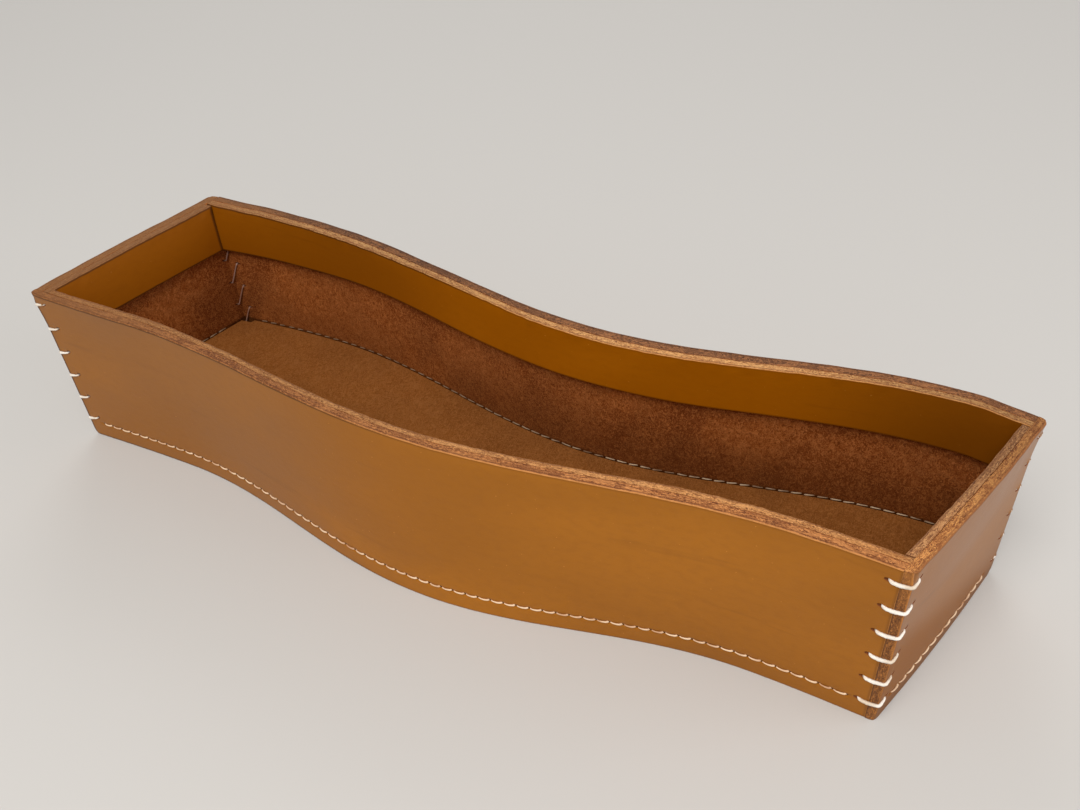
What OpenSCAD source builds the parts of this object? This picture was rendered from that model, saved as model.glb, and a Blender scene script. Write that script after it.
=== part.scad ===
// Wavy leather desk tray: four wall panels laced at the corners, a facing band round the rim
// and a floor panel sewn between the walls. The near wall is the one towards -Y.

/* [Tray] */
// Length of the near wall along its rim, corner to corner
tray_l = 350; // [240:1:480]
// Width over the walls at the left end
left_w = 84; // [70:0.5:120]
// Width over the walls at the right end
right_w = 80.5; // [70:0.5:120]
// Height of the walls
tray_h = 79; // [60:1:110]
// How far the far wall sits to the right of the near wall
end_skew = 23.3; // [0:0.1:40]

/* [Wave] */
// How far the near rim swings out at its middle
near_rim_dip = 12.7; // [0:0.1:22]
// How far the near wall's lower edge swings out at its middle
near_base_dip = 17.4; // [0:0.1:22]
// How far the near rim swings in beside its ends
near_rim_rise = 0.7; // [0:0.1:8]
// How far the near wall's lower edge swings in beside its ends
near_base_rise = 1.4; // [0:0.1:8]
// How far the far wall swings in at its middle
far_dip = 14.9; // [0:0.1:22]
// How far the far wall swings out beside its ends
far_rise = 3.8; // [0:0.1:8]
// Outward bow of the right end at the rim
right_bow = 2; // [0:0.1:5]
// Outward bow of the left end at the rim
left_bow = 0.6; // [0:0.1:5]
// Outward bow of both ends at the lower edge
base_bow = 0.9; // [0:0.1:5]

/* [Leather] */
// Thickness of the wall panels
wall_t = 3.2; // [2:0.1:4.5]
// Thickness of the facing band inside the rim
facing_t = 3; // [2:0.1:4.5]
// Depth of the facing band below the rim
facing_h = 22.5; // [15:0.5:32]
// Thickness of the floor panel
floor_t = 4; // [3:0.1:5]
// Height of the floor's top face above the table
floor_z = 15; // [12:0.5:22]

/* [Seam] */
// Height of the seam on the outside of the walls
seam_z = 8.6; // [5:0.1:10]
// Distance from stitch to stitch along the seam
seam_pitch = 5; // [4:0.5:8]
// Length of thread that shows in one stitch
stitch_l = 3.7; // [2.5:0.1:3.9]
// Thickness of the seam thread
seam_thread_d = 0.9; // [0.6:0.1:1.2]
// Distance from a wall's start to its first stitch, and least distance from its last stitch to its end
seam_margin = 10.1; // [8:0.1:14]

/* [Lacing] */
// Number of stitches down each corner
lace_n = 6; // [4:1:8]
// Distance from the rim down to the first stitch
lace_top = 6.2; // [5:0.1:9]
// Height of the last stitch above the table
lace_bottom = 9.6; // [9:0.1:12]
// Thickness of the lacing thread
lace_thread_d = 1.3; // [0.8:0.1:1.4]
// Width of the lacing holes
lace_hole_d = 1.6; // [1.6:0.1:2]
// How much higher the hole in the overlapping wall is
lace_slant = 1.4; // [0:0.1:3]
// Distance of the overlapping wall's holes from the inner corner
lap_inset = 1.2; // [1.1:0.05:1.8]
// The same at the near left corner, where they lie further in
near_left_lap_inset = 1.8; // [1.1:0.05:1.8]
// Distance of the covered wall's holes from the inner corner
butt_inset = 4.4; // [3.5:0.1:6]

/* [Hidden] */

grain_color = [0.67, 0.42, 0.17];
facing_color = [0.56, 0.33, 0.04];
floor_color = [0.45, 0.28, 0.15];
thread_color = [0.93, 0.89, 0.81];

// Walls by number, walked anticlockwise as seen from above. Wall k starts at corner k
NEAR = 0;
RIGHT = NEAR + 1;
FAR = RIGHT + 1;
LEFT = FAR + 1;
SIDES = LEFT + 1;
BASE = 0;
RIM = BASE + 1;

// Where along half of a long wall the wave turns, as shares of that half
near_trough_share = 0.03;
near_rim_crest_share = 0.77;
near_base_crest_share = 0.72;
far_trough_share = 0.093;
far_crest_share = 0.765;

// Spacing of the sections that a wall is lofted through
section_l = 6;
// Layer of glue between a wall and its facing
glue_t = 0.1;
// Room between the floor's edge and the walls
floor_gap = 0.25;
// Room between a thread and the leather it lies on
thread_gap = 0.05;
// Radius that the lacing bends to where it turns
lace_bend_r = 0.9;
// Room left round the lacing where a facing or the floor makes way for it
lace_gap = 0.2;
// Length by which a cutter runs past what it cuts
overrun = 1;
lace_sides = 6;
thread_faces = 16;
hole_faces = 24;

mean_w = (left_w + right_w) / 2;
half_l = tray_l / 2;
facing_share = 1 - facing_h / tray_h;
facing_back = wall_t + glue_t;
facing_front = facing_back + facing_t;
seam_share = seam_z / tray_h;
lace_r = lace_thread_d / 2;
lace_out = lace_r + thread_gap;
lace_in = wall_t + lace_out;
lace_pitch = (tray_h - lace_top - lace_bottom) / (lace_n - 1);

function unit(v) = v / norm(v);
function turn_left(v) = [-v[1], v[0]];
function mix(a, b, share) = a * (1 - share) + b * share;
function up(p, z) = [p[0], p[1], z];
function ease(s) = (1 - cos(180 * max(0, min(1, s)))) / 2;

// Swing of a long wall: out at its middle, in at a crest on each side, none at its ends
function wave(u, dip, rise, crest, trough) =
    let (d = abs(u - trough), end = u < trough ? 1 + trough : 1 - trough)
    d < crest ? -dip + (dip + rise) * ease(d / crest)
              : rise * sin(90 * (end - d) / (end - crest));

function near_line(u, level) = [half_l * u, -mean_w / 2
    + (level == RIM ? wave(u, near_rim_dip, near_rim_rise, near_rim_crest_share, near_trough_share)
                    : wave(u, near_base_dip, near_base_rise, near_base_crest_share, near_trough_share))];

function far_line(u) = [half_l * u + end_skew, -mean_w / 2 + mix(left_w, right_w, (1 + u) / 2)
    + wave(u, far_dip, far_rise, far_crest_share, far_trough_share)];

function bowed_line(a, b, v, bow) = mix(a, b, v) - turn_left(unit(b - a)) * bow * 4 * v * (1 - v);

// Outer face of a wall in plan, v from 0 at its start to 1 at its end
function face(k, v, level) =
    k == NEAR ? near_line(2 * v - 1, level) :
    k == RIGHT ? bowed_line(near_line(1, level), far_line(1), v, level == RIM ? right_bow : base_bow) :
    k == FAR ? far_line(1 - 2 * v) :
    bowed_line(far_line(-1), near_line(-1, level), v, level == RIM ? left_bow : base_bow);

slope_share = 0.001;
function way(k, v, level) = unit(face(k, min(1, v + slope_share), level)
    - face(k, max(0, v - slope_share), level));
function skin(k, v, level, depth) = face(k, v, level) + turn_left(way(k, v, level)) * depth;

// A point of a wall at a share of its height, a depth in from its outer face
function wall_point(k, v, share, depth) =
    up(mix(skin(k, v, BASE, depth), skin(k, v, RIM, depth), share), tray_h * share);

function before(k) = (k + SIDES - 1) % SIDES;
function after(k) = (k + 1) % SIDES;

// At a corner one wall laps over the end of the other: the wall that starts there, but at the
// far right corner the right wall, which laps over both long walls
function starts_outside(k) = k != FAR;

// A point at wall k's start corner, a depth in from the outer face of wall k and another
// depth in from that of the wall before it
function corner_at(k, level, depth, other) =
    let (a = way(k, 0, level), b = -way(before(k), 1, level), s = abs(cross(a, b)))
    face(k, 0, level) + a * other / s + b * depth / s;
function corner_point(k, share, depth, other) =
    up(mix(corner_at(k, BASE, depth, other), corner_at(k, RIM, depth, other), share), tray_h * share);

function wall_length(k) = norm(face(k, 1, BASE) - face(k, 0, BASE));
function section_count(k) = ceil(wall_length(k) / section_l);
// Sections keep clear of the corners, where the ends are cut to the next wall
function sections(k, clear_l) = let (n = section_count(k))
    [for (i = [1:n - 1]) if (min(i, n - i) / n * wall_length(k) > clear_l) i / n];

// One layer of leather along wall k, between two depths and up through the given shares of the
// height. Its start is cut back from the wall before it, its end from the wall after it.
module layer(k, shares, back, front, start_cut, end_cut) {
    m = len(shares);
    levels = [for (i = [0:m - 1]) i];
    start_ring = concat([for (i = levels) corner_point(k, shares[i], back, start_cut)],
        [for (i = levels) corner_point(k, shares[m - 1 - i], front, start_cut)]);
    end_ring = concat([for (i = levels) corner_point(after(k), shares[i], end_cut, back)],
        [for (i = levels) corner_point(after(k), shares[m - 1 - i], end_cut, front)]);
    rings = concat([start_ring],
        [for (v = sections(k, 2 * facing_front)) concat(
            [for (i = levels) wall_point(k, v, shares[i], back)],
            [for (i = levels) wall_point(k, v, shares[m - 1 - i], front)])],
        [end_ring]);
    loft(rings, m);
}

// Skin through rings of points, each ring up one face and down the other through m levels
module loft(rings, m) {
    n = len(rings);
    r = len(rings[0]);
    function id(i, j) = i * r + j % r;
    sides = [for (i = [0:n - 2]) for (j = [0:r - 1]) for (f = [
        [id(i, j), id(i, j + 1), id(i + 1, j + 1)],
        [id(i, j), id(i + 1, j + 1), id(i + 1, j)]]) f];
    caps = [for (j = [0:m - 2]) for (f = [
        [id(0, j), id(0, r - 1 - j), id(0, r - 2 - j)],
        [id(0, j), id(0, r - 2 - j), id(0, j + 1)],
        [id(n - 1, j), id(n - 1, j + 1), id(n - 1, r - 2 - j)],
        [id(n - 1, j), id(n - 1, r - 2 - j), id(n - 1, r - 1 - j)]]) f];
    polyhedron([for (ring = rings) for (p = ring) p], concat(sides, caps));
}

// Ways along both walls from corner k, and the one that laps over the other's end
function start_way(k, share) = unit(mix(way(k, 0, BASE), way(k, 0, RIM), share));
function end_way(k, share) = -unit(mix(way(before(k), 1, BASE), way(before(k), 1, RIM), share));
function lap_way(k, share) = starts_outside(k) ? start_way(k, share) : end_way(k, share);
function butt_way(k, share) = starts_outside(k) ? end_way(k, share) : start_way(k, share);
function turn_in(k, v) = starts_outside(k) ? turn_left(v) : -turn_left(v);

// Lacing: heights of the stitches, and the places of their holes at corner k
function lace_z(i) = tray_h - lace_top - i * lace_pitch;
function lap_inset_at(k) = k == NEAR ? near_left_lap_inset : lap_inset;
function lap_hole(k, i, depth) = let (z = lace_z(i) + lace_slant, share = z / tray_h, a = lap_way(k, share))
    corner_point(k, share, wall_t, wall_t) + up(a * lap_inset_at(k) + turn_in(k, a) * (depth - wall_t), 0);
function butt_hole(k, i, depth) = let (z = lace_z(i), share = z / tray_h, b = butt_way(k, share))
    corner_point(k, share, wall_t, wall_t) + up(b * butt_inset - turn_in(k, b) * (depth - wall_t), 0);
function start_hole(k, i, depth) = starts_outside(k) ? lap_hole(k, i, depth) : butt_hole(k, i, depth);
function end_hole(k, i, depth) = starts_outside(after(k)) ? butt_hole(after(k), i, depth)
    : lap_hole(after(k), i, depth);

// Bar with flat ends from one point to another
module bar(p, q, d, faces) {
    v = q - p;
    translate(p) rotate([0, acos(v[2] / norm(v)), atan2(v[1], v[0])])
        cylinder(d = d, h = norm(v), $fn = faces);
}

module lace_holes(k) {
    for (i = [0:lace_n - 1]) {
        bar(start_hole(k, i, -overrun), start_hole(k, i, wall_t + overrun), lace_hole_d, hole_faces);
        bar(end_hole(k, i, -overrun), end_hole(k, i, wall_t + overrun), lace_hole_d, hole_faces);
    }
}

// Room that the lacing inside corner k needs along the overlapping wall and along the covered one
function lace_room(k) = [lap_inset_at(k) + lace_r + lace_gap, butt_inset + lace_r + lace_gap];

// Pocket in the back of the facing that runs into corner k, for the lacing that it covers
module lace_pocket(k) {
    share = 1 - lace_top / tray_h;
    p = corner_point(k, share, wall_t, wall_t);
    a = lap_way(k, share);
    b = butt_way(k, share);
    room = lace_room(k);
    near_side = -a * overrun;
    far_side = a * room[0];
    top = lace_z(0) + lace_slant + lace_r + lace_gap;
    bottom = tray_h - facing_h - overrun;
    translate([p[0], p[1], bottom]) linear_extrude(top - bottom)
        polygon([near_side - b * overrun, near_side + b * room[1], far_side + b * room[1], far_side - b * overrun]);
}

// A wall panel: at each end it laps over the next wall or stops against the inside of it
module wall(k) {
    color(grain_color) difference() {
        layer(k, [0, facing_share, 1], 0, wall_t,
            starts_outside(k) ? 0 : wall_t, starts_outside(after(k)) ? wall_t : 0);
        lace_holes(k);
    }
}

// A facing band: glued inside the rim with its grain side showing
module facing(k) {
    color(facing_color) difference() {
        layer(k, [facing_share, 1], facing_back, facing_front,
            starts_outside(k) ? facing_front + glue_t : facing_back,
            starts_outside(after(k)) ? facing_back : facing_front + glue_t);
        if (!starts_outside(k)) lace_pocket(k);
        if (starts_outside(after(k))) lace_pocket(after(k));
    }
}

// The floor fills the plan inside the walls, and each corner has a notch for the lacing
module floor_panel() {
    depth = wall_t + floor_gap;
    share = (floor_z - floor_t / 2) / tray_h;
    function corner(k, room) = corner_point(k, share, depth, depth)
        + up(lap_way(k, share) * room[0] + butt_way(k, share) * room[1], 0);
    function along_lap(k) = corner(k, [lace_room(k)[0], 0]);
    function along_butt(k) = corner(k, [0, lace_room(k)[1]]);
    outline = [for (k = [0:SIDES - 1]) for (p = concat(
        [corner(k, lace_room(k)), starts_outside(k) ? along_lap(k) : along_butt(k)],
        [for (v = sections(k, 2 * facing_front)) wall_point(k, v, share, depth)],
        [starts_outside(after(k)) ? along_butt(after(k)) : along_lap(after(k))]))
        [p[0], p[1]]];
    color(floor_color) translate([0, 0, floor_z - floor_t])
        linear_extrude(floor_t) polygon(outline);
}

// Distance walked along a wall at the seam's height, against the share of the wall
function walk(k) = let (n = 4 * section_count(k),
    p = [for (i = [0:n]) wall_point(k, i / n, seam_share, 0)])
    [for (i = 0, d = 0; i <= n; d = i < n ? d + norm(p[i + 1] - p[i]) : d, i = i + 1) [d, i / n]];

// Seam: a row of stitches outside, and their other side in the corner between wall and floor
module seam(k) {
    table = walk(k);
    length = table[len(table) - 1][0];
    n = floor((length - 2 * seam_margin) / seam_pitch) + 1;
    out = seam_thread_d / 2 + thread_gap;
    inner_z = floor_z + out;
    keep = 2 * wall_t + stitch_l;
    color(thread_color) for (i = [0:n - 1]) {
        s = seam_margin + i * seam_pitch;
        v = [for (e = [-1, 1]) lookup(s + e * stitch_l / 2, [for (t = table) t])];
        bar(wall_point(k, v[0], seam_share, -out), wall_point(k, v[1], seam_share, -out),
            seam_thread_d, thread_faces);
        if (s > keep && s < length - keep)
            bar(up(wall_point(k, v[0], floor_z / tray_h, wall_t + out), inner_z),
                up(wall_point(k, v[1], floor_z / tray_h, wall_t + out), inner_z),
                seam_thread_d, thread_faces);
    }
}

// Route of one corner's lacing: over the corner at each stitch, down the inside to the next
function lace_route(k) = [for (i = [0:lace_n - 1]) for (p = [
    lap_hole(k, i, lace_in), lap_hole(k, i, -lace_out),
    corner_point(k, (lace_z(i) + lace_slant / 2) / tray_h, -lace_out, -lace_out),
    butt_hole(k, i, -lace_out), butt_hole(k, i, lace_in)]) p];

// The same route with every turn rounded off
function rounded(p, r) = [for (i = [0:len(p) - 1]) for (q =
    i == 0 || i == len(p) - 1 ? [p[i]] :
    let (a = p[i] - unit(p[i] - p[i - 1]) * min(r, norm(p[i] - p[i - 1]) / 2),
        b = p[i] + unit(p[i + 1] - p[i]) * min(r, norm(p[i + 1] - p[i]) / 2))
    [a, (a + b + p[i] * 2) / 4, b]) q];

// Round tube along a route
module tube(p, d, faces) {
    n = len(p);
    t = [for (i = [0:n - 1]) unit(unit(p[min(i + 1, n - 1)] - p[min(i, n - 2)])
        + unit(p[max(i, 1)] - p[max(i - 1, 0)]))];
    first = unit(cross(t[0], [0, 0, 1]));
    side = [for (i = 0, s = first; i < n; s = i + 1 < n ? unit(s - t[i + 1] * (s * t[i + 1])) : s, i = i + 1) s];
    points = [for (i = [0:n - 1]) for (j = [0:faces - 1])
        p[i] + (side[i] * cos(360 * j / faces) + cross(t[i], side[i]) * sin(360 * j / faces)) * d / 2];
    function id(i, j) = i * faces + j % faces;
    skin = [for (i = [0:n - 2]) for (j = [0:faces - 1]) for (f = [
        [id(i, j), id(i + 1, j), id(i + 1, j + 1)],
        [id(i, j), id(i + 1, j + 1), id(i, j + 1)]]) f];
    ends = [[for (j = [0:faces - 1]) j], [for (j = [0:faces - 1]) id(n - 1, faces - 1 - j)]];
    polyhedron(points, concat(skin, ends));
}

module lacing(k) {
    color(thread_color) tube(rounded(lace_route(k), lace_bend_r), lace_thread_d, lace_sides);
}

// The origin is the centre of the tray's outline, on the table
outline_points = concat([for (k = [0:SIDES - 1]) for (i = [0:section_count(k)])
    for (level = [BASE, RIM]) face(k, i / section_count(k), level)],
    [for (k = [0:SIDES - 1]) corner_at(k, RIM, -lace_out - lace_r, -lace_out - lace_r)]);
xs = [for (p = outline_points) p[0]];
ys = [for (p = outline_points) p[1]];
centre = [(min(xs) + max(xs)) / 2, (min(ys) + max(ys)) / 2, 0];

module near_wall() { translate(-centre) wall(NEAR); }
module right_wall() { translate(-centre) wall(RIGHT); }
module far_wall() { translate(-centre) wall(FAR); }
module left_wall() { translate(-centre) wall(LEFT); }
module near_facing() { translate(-centre) facing(NEAR); }
module right_facing() { translate(-centre) facing(RIGHT); }
module far_facing() { translate(-centre) facing(FAR); }
module left_facing() { translate(-centre) facing(LEFT); }
module near_seam() { translate(-centre) seam(NEAR); }
module right_seam() { translate(-centre) seam(RIGHT); }
module far_seam() { translate(-centre) seam(FAR); }
module left_seam() { translate(-centre) seam(LEFT); }
module near_left_lacing() { translate(-centre) lacing(NEAR); }
module near_right_lacing() { translate(-centre) lacing(RIGHT); }
module far_right_lacing() { translate(-centre) lacing(FAR); }
module far_left_lacing() { translate(-centre) lacing(LEFT); }

near_wall();
right_wall();
far_wall();
left_wall();
near_facing();
right_facing();
far_facing();
left_facing();
translate(-centre) floor_panel();
near_seam();
right_seam();
far_seam();
left_seam();
near_left_lacing();
near_right_lacing();
far_right_lacing();
far_left_lacing();
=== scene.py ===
import math
from functools import partial
import bpy
from mathutils import Matrix, Vector, noise
from mathutils.geometry import intersect_point_line


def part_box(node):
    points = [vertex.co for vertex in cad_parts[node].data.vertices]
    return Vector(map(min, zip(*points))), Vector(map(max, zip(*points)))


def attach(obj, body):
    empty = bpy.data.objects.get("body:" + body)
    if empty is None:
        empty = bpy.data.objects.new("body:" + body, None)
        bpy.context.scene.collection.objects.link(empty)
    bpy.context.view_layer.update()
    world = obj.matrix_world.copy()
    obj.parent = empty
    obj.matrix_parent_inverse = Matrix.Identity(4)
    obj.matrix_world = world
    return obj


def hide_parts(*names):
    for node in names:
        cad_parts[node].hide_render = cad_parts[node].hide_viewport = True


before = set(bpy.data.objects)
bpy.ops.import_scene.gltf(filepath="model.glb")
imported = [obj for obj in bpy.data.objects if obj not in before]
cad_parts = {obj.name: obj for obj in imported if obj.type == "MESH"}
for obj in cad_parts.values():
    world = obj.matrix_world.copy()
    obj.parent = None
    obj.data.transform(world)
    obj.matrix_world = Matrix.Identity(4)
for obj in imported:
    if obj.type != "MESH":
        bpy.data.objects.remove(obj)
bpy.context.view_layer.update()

MM = 0.001
TRAY_LENGTH, LEFT_WIDTH, RIGHT_WIDTH, TRAY_HEIGHT, END_SKEW = 350.0, 84.0, 80.5, 79.0, 23.3
MEAN_WIDTH = (LEFT_WIDTH + RIGHT_WIDTH) / 2
WALL_THICKNESS, FACING_THICKNESS, FACING_DEPTH, GLUE = 3.2, 3.0, 22.5, 0.1
SEAM_HEIGHT, SEAM_PITCH, SEAM_MARGIN = 8.6, 5.0, 10.1
LACE_COUNT, LACE_TOP, LACE_BOTTOM, LACE_SLANT = 6, 6.2, 9.6, 1.4
LACE_THREAD = 1.4
# Wall k starts at corner k, and the walls are walked anticlockwise as seen from above.
WALLS = ("near", "right", "far", "left")
NEAR, RIGHT, FAR, LEFT = range(4)
FOOT, RIM = 0, 1
# Each wave's swing at its middle and beside its ends, and the share of half a wall where it turns. The
# near wall has one at its foot and one at its rim.
NEAR_WAVES = ((17.4, 1.4, 0.72), (12.7, 0.7, 0.77))
FAR_WAVE = (14.9, 3.8, 0.765)
NEAR_TROUGH, FAR_TROUGH = 0.03, 0.093
END_BOWS = {RIGHT: (0.9, 2.0), LEFT: (0.9, 0.6)}


def ease(s):
    return (1 - math.cos(math.pi * max(0.0, min(1.0, s)))) / 2


def wave(u, dip, rise, crest, trough):
    d, end = abs(u - trough), (1 + trough if u < trough else 1 - trough)
    if d < crest:
        return -dip + (dip + rise) * ease(d / crest)
    return rise * math.sin(math.pi / 2 * (end - d) / (end - crest))


def near_line(u, level):
    return Vector((TRAY_LENGTH / 2 * u, -MEAN_WIDTH / 2 + wave(u, *NEAR_WAVES[level], NEAR_TROUGH)))


def far_line(u):
    width = LEFT_WIDTH + (RIGHT_WIDTH - LEFT_WIDTH) * (1 + u) / 2
    return Vector((TRAY_LENGTH / 2 * u + END_SKEW, -MEAN_WIDTH / 2 + width + wave(u, *FAR_WAVE, FAR_TROUGH)))


def left_of(v):
    return Vector((-v[1], v[0]))


def bowed_line(a, b, v, bow):
    return a.lerp(b, v) - left_of((b - a).normalized()) * bow * 4 * v * (1 - v)


def face_line(k, v, level):
    """Outer face of wall k in plan, at share v of its length from corner k."""
    if k == NEAR:
        return near_line(2 * v - 1, level)
    if k == RIGHT:
        return bowed_line(near_line(1, level), far_line(1), v, END_BOWS[k][level])
    if k == FAR:
        return far_line(1 - 2 * v)
    return bowed_line(far_line(-1), near_line(-1, level), v, END_BOWS[k][level])


def way(k, v, level):
    return (face_line(k, min(1, v + 0.001), level) - face_line(k, max(0, v - 0.001), level)).normalized()


def corner_lines(k, level):
    """Corner at the start of wall k: its point, the unit steps along wall k and back along the
    wall before it, and the sine of the angle between them."""
    a, b = way(k, 0, level), -way((k + 3) % 4, 1, level)
    return face_line(k, 0, level), a, b, abs(a.cross(b))


def corner_point(k, z, depth, other):
    """Point at corner k that lies at one depth in wall k and at another in the wall before it."""
    p = [c + a * other / s + b * depth / s for c, a, b, s in (corner_lines(k, FOOT), corner_lines(k, RIM))]
    p = p[0].lerp(p[1], z / TRAY_HEIGHT)
    return Vector((p.x, p.y, z))


class Station:
    """One cut across a wall: for both levels a plan point on its outer face and the step inwards."""

    def __init__(self, s, lines):
        self.s, self.lines = s, lines

    def point(self, depth, z, slide=0.0):
        foot, rim = (p + n * depth + Vector((n.y, -n.x)) * slide for p, n in self.lines)
        p = foot.lerp(rim, z / TRAY_HEIGHT)
        return Vector((p.x, p.y, z))

    def toward(self, other, share, s):
        pairs = zip(self.lines, other.lines)
        return Station(s, [(p.lerp(q, share), n.lerp(m, share)) for (p, n), (q, m) in pairs])


def laps(k, at_start):
    """Whether wall k laps over its neighbour at its start or at its end. The far wall does neither,
    and the right wall does both."""
    return k != FAR if at_start else (k + 1) % 4 == FAR


def end_station(k, at_start, cuts):
    """The square cut at one end of wall k. cuts are how far an end on the outside of its corner and
    one on the inside stop from the corner."""
    lines = []
    for level in (FOOT, RIM):
        p, onward, back, s = corner_lines(k if at_start else (k + 1) % 4, level)
        along, across = (onward, back) if at_start else (back, onward)
        lines.append((p + along * cuts[not laps(k, at_start)] / s, across / s))
    return Station(0, lines)


def wall_length(k):
    return (face_line(k, 1, FOOT) - face_line(k, 0, FOOT)).length


def wall_station(k, v, s):
    return Station(s, [(face_line(k, v, level), left_of(way(k, v, level))) for level in (FOOT, RIM)])


# Distance walked along each wall at the seam's height, for even steps of v.
WAY_STEPS = 400
SEAM_WAYS = []
for k in range(4):
    steps = [wall_station(k, i / WAY_STEPS, 0).point(0, SEAM_HEIGHT) for i in range(WAY_STEPS + 1)]
    walked = [0.0]
    for p, q in zip(steps, steps[1:]):
        walked.append(walked[-1] + (q - p).length)
    SEAM_WAYS.append(walked)


def on_wall(k, v):
    place = v * WAY_STEPS
    i = min(int(place), WAY_STEPS - 1)
    return wall_station(k, v, SEAM_WAYS[k][i] + (SEAM_WAYS[k][i + 1] - SEAM_WAYS[k][i]) * (place - i))


# For each wall, how far its rim strays outwards from the drawn line, and how thick the doubled rim
# is, each as (share of the wall's length, mm). It starts below the facing and grows up to the rim.
RIM_STRAY = (
    ((0, 0.9), (0.02, 1.3), (0.1, 1.8), (0.2, 1.15), (0.3, 0.45), (0.4, 0.05), (0.5, -0.3), (0.6, -0.45),
     (0.9, -0.4), (1, 0)),
    ((0, 0.2), (0.1, -0.2), (0.3, -0.6), (0.5, -0.4), (0.7, 0.1), (0.85, 0.6), (1, 1.4)),
    ((0, 0.9), (0.07, 0.9), (0.36, 0.4), (0.5, 0.9), (0.6, 1.1), (0.7, 0.3), (0.8, 0.2), (0.87, 1.0),
     (0.93, 2.2), (1, 2.4)),
    ((0, 2.3), (0.4, 2.6), (0.9, 2.5), (1, 1.9)))
RIM_WIDTH = (
    ((0, 5.9), (0.1, 6.5), (0.3, 5.7), (0.5, 5.4), (0.7, 5.9), (0.8, 6.6), (1, 6.2)),
    ((0, 6.5), (1, 6.2)),
    ((0, 6.3), (0.36, 7.3), (0.5, 7.2), (0.57, 6.5), (0.65, 6.6), (0.76, 7.3), (0.9, 7.0), (1, 6.6)),
    ((0, 7.2), (0.9, 7.2), (1, 6.4)))
# The wall's share of the doubled rim, the height from which the rim strays, how steeply that grows, and
# how far from a corner the straying of the neighbour shows.
WALL_SHARE, STRAY_FROM, STRAY_POWER, CORNER_REACH = 0.57, 57, 2.2, 30


def read_off(table, v):
    for (v0, a), (v1, b) in zip(table, table[1:]):
        if v <= v1:
            return a + (b - a) * ease((v - v0) / (v1 - v0))
    return table[-1][1]


def rim_pull(z):
    """Share of the straying at height z."""
    return max(0.0, (z - STRAY_FROM) / (TRAY_HEIGHT - STRAY_FROM)) ** STRAY_POWER


def strayed(k, s, depth, z):
    """Depth and slide along the wall of a point of wall k or its facing, once the rim has strayed.
    Near a corner the point slides as the neighbour strays."""
    length = SEAM_WAYS[k][-1]
    v = max(0.0, min(1.0, s / length))
    out, width = read_off(RIM_STRAY[k], v), read_off(RIM_WIDTH[k], v)
    if depth < WALL_THICKNESS + GLUE / 2:
        target = depth / WALL_THICKNESS * (width * WALL_SHARE - GLUE) - out
    else:
        in_facing = (depth - WALL_THICKNESS - GLUE) / FACING_THICKNESS
        target = width * WALL_SHARE + in_facing * width * (1 - WALL_SHARE) - out
    before, after = RIM_STRAY[(k + 3) % 4][-1][1], RIM_STRAY[(k + 1) % 4][0][1]
    slide = after * max(0.0, 1 - (length - s) / CORNER_REACH) - before * max(0.0, 1 - s / CORNER_REACH)
    pull = rim_pull(z)
    return depth + (target - depth) * pull, slide * pull


# The part's origin is the centre of its box, which the lacing at two corners stretches a little.
near_low, near_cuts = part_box("near_wall")[0], 59
near_points = [face_line(NEAR, i / near_cuts, level) for i in range(near_cuts + 1) for level in (FOOT, RIM)]
SHIFT = Vector((near_low[0] / MM - min(p.x for p in near_points),
                near_low[1] / MM - min(p.y for p in near_points), 0))

EDGE_ROUND, GLUED_ROUND, END_ROUND, CLEAR_STEP = 0.5, 0.2, 0.15, 6
# Steps in from a cut end, close together where the lacing presses and wider further in.
END_STEPS = [0.45 + 0.38 * i for i in range(15)] + [6.5, 7.5, 9.0, 11.0, 13.0, 15.0]


def clear_share(k):
    """Share of the wall at which the square-cut end has run out into the wave."""
    n = math.ceil(wall_length(k) / CLEAR_STEP)
    room = 2 * (WALL_THICKNESS + GLUE + FACING_THICKNESS)
    return next(i for i in range(1, n) if i / n * wall_length(k) > room) / n


def stations(k, cuts, step):
    """Cuts along wall k, with the inset that rounds off its two cut ends. The two values of cuts are
    how far an end on the outside of its corner and one on the inside stop from the corner."""
    edge, n = clear_share(k), max(1, round(wall_length(k) / step))
    inner = [on_wall(k, edge + (1 - 2 * edge) * i / n) for i in range(n + 1)]
    row = [(s, 0.0) for s in inner]
    turns = [(END_ROUND * (1 - math.cos(t)), END_ROUND * (1 - math.sin(t)))
             for t in map(math.radians, (0, 45, 90))]
    for at_start, first, sign in ((True, inner[0], 1), (False, inner[-1], -1)):
        end = end_station(k, at_start, cuts)
        length = (first.lines[FOOT][0] - end.lines[FOOT][0]).length
        spots = turns + [(e, 0.0) for e in END_STEPS if e < length - 1]
        end_row = [(end.toward(first, e / length, first.s - sign * (length - e)), inset)
                   for e, inset in spots]
        row = end_row + row if at_start else row + end_row[::-1]
    return row


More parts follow.
